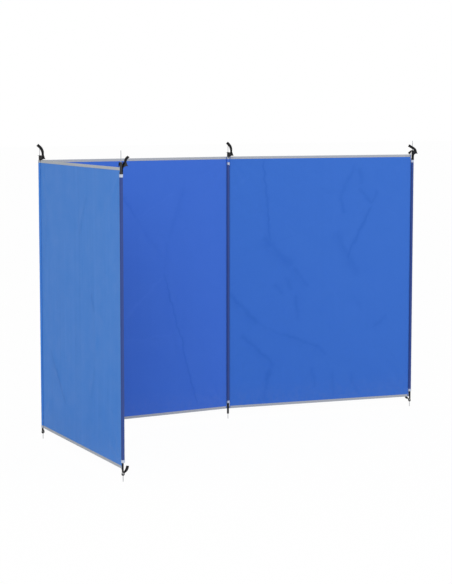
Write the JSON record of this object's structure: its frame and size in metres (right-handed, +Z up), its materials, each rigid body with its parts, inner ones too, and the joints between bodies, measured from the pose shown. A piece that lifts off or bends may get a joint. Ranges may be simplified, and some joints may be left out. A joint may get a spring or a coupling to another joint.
{
  "type": "beach windbreak",
  "caption": "Folding cloth windbreak in bays: sheets stretched between sleeved steel poles with taped edges, strap tensioners on top and ground spikes below.",
  "frame": {"origin": "blunt end of the ground spike of the corner pole", "axes": "+Z up along the poles, +X along the middle bay from the corner pole to the inner pole, -Y to the sheltered side"},
  "size_m": [2.5521, 1.2399, 1.6731],
  "materials": {
    "blue_cloth": "plain-woven polyester, coated",
    "slate_cloth": "matte woven",
    "grey_tape": "woven binding tape",
    "black_webbing": "ribbed webbing",
    "black_plastic": "moulded, fine grain",
    "steel": "zinc-plated"
  },
  "bodies": {
    "middle_bay": {"middle_panel": "blue_cloth", "middle_edge_tapes": "grey_tape", "middle_eyelets": "steel", "corner_tube": "steel", "corner_plugs": "black_plastic", "corner_pins": "steel", "corner_sleeve": "slate_cloth", "corner_mouth_tapes": "grey_tape", "corner_tab": "black_webbing", "corner_buckle": "black_plastic", "corner_top_strap": "black_webbing", "corner_foot_strap": "black_webbing", "inner_tube": "steel", "inner_plugs": "black_plastic", "inner_pins": "steel", "inner_sleeve": "slate_cloth", "inner_mouth_tapes": "grey_tape", "inner_tab": "black_webbing", "inner_buckle": "black_plastic", "inner_top_strap": "black_webbing", "inner_foot_strap": "black_webbing"},
    "left_bay": {"left_panel": "blue_cloth", "left_edge_tapes": "grey_tape", "left_eyelet": "steel", "left_end_tube": "steel", "left_end_plugs": "black_plastic", "left_end_pins": "steel", "left_end_sleeve": "slate_cloth", "left_end_mouth_tapes": "grey_tape", "left_end_tab": "black_webbing", "left_end_buckle": "black_plastic", "left_end_top_strap": "black_webbing", "left_end_foot_strap": "black_webbing"},
    "right_bay": {"right_panel": "blue_cloth", "right_edge_tapes": "grey_tape", "right_eyelet": "steel", "right_end_tube": "steel", "right_end_plugs": "black_plastic", "right_end_pins": "steel", "right_end_sleeve": "slate_cloth", "right_end_mouth_tapes": "grey_tape", "right_end_tab": "black_webbing", "right_end_buckle": "black_plastic", "right_end_top_strap": "black_webbing", "right_end_foot_strap": "black_webbing"}
  },
  "joints": [
    {"name": "left_bay_fold", "type": "hinge", "parent": "middle_bay", "child": "left_bay", "pos_m": [0, 0, 0.8], "axis": [0, 0, 1], "range_deg": [-130, 87]},
    {"name": "right_bay_fold", "type": "hinge", "parent": "middle_bay", "child": "right_bay", "pos_m": [1.22, 0, 0.8], "axis": [0, 0, 1], "range_deg": [-60, 182]}
  ]
}
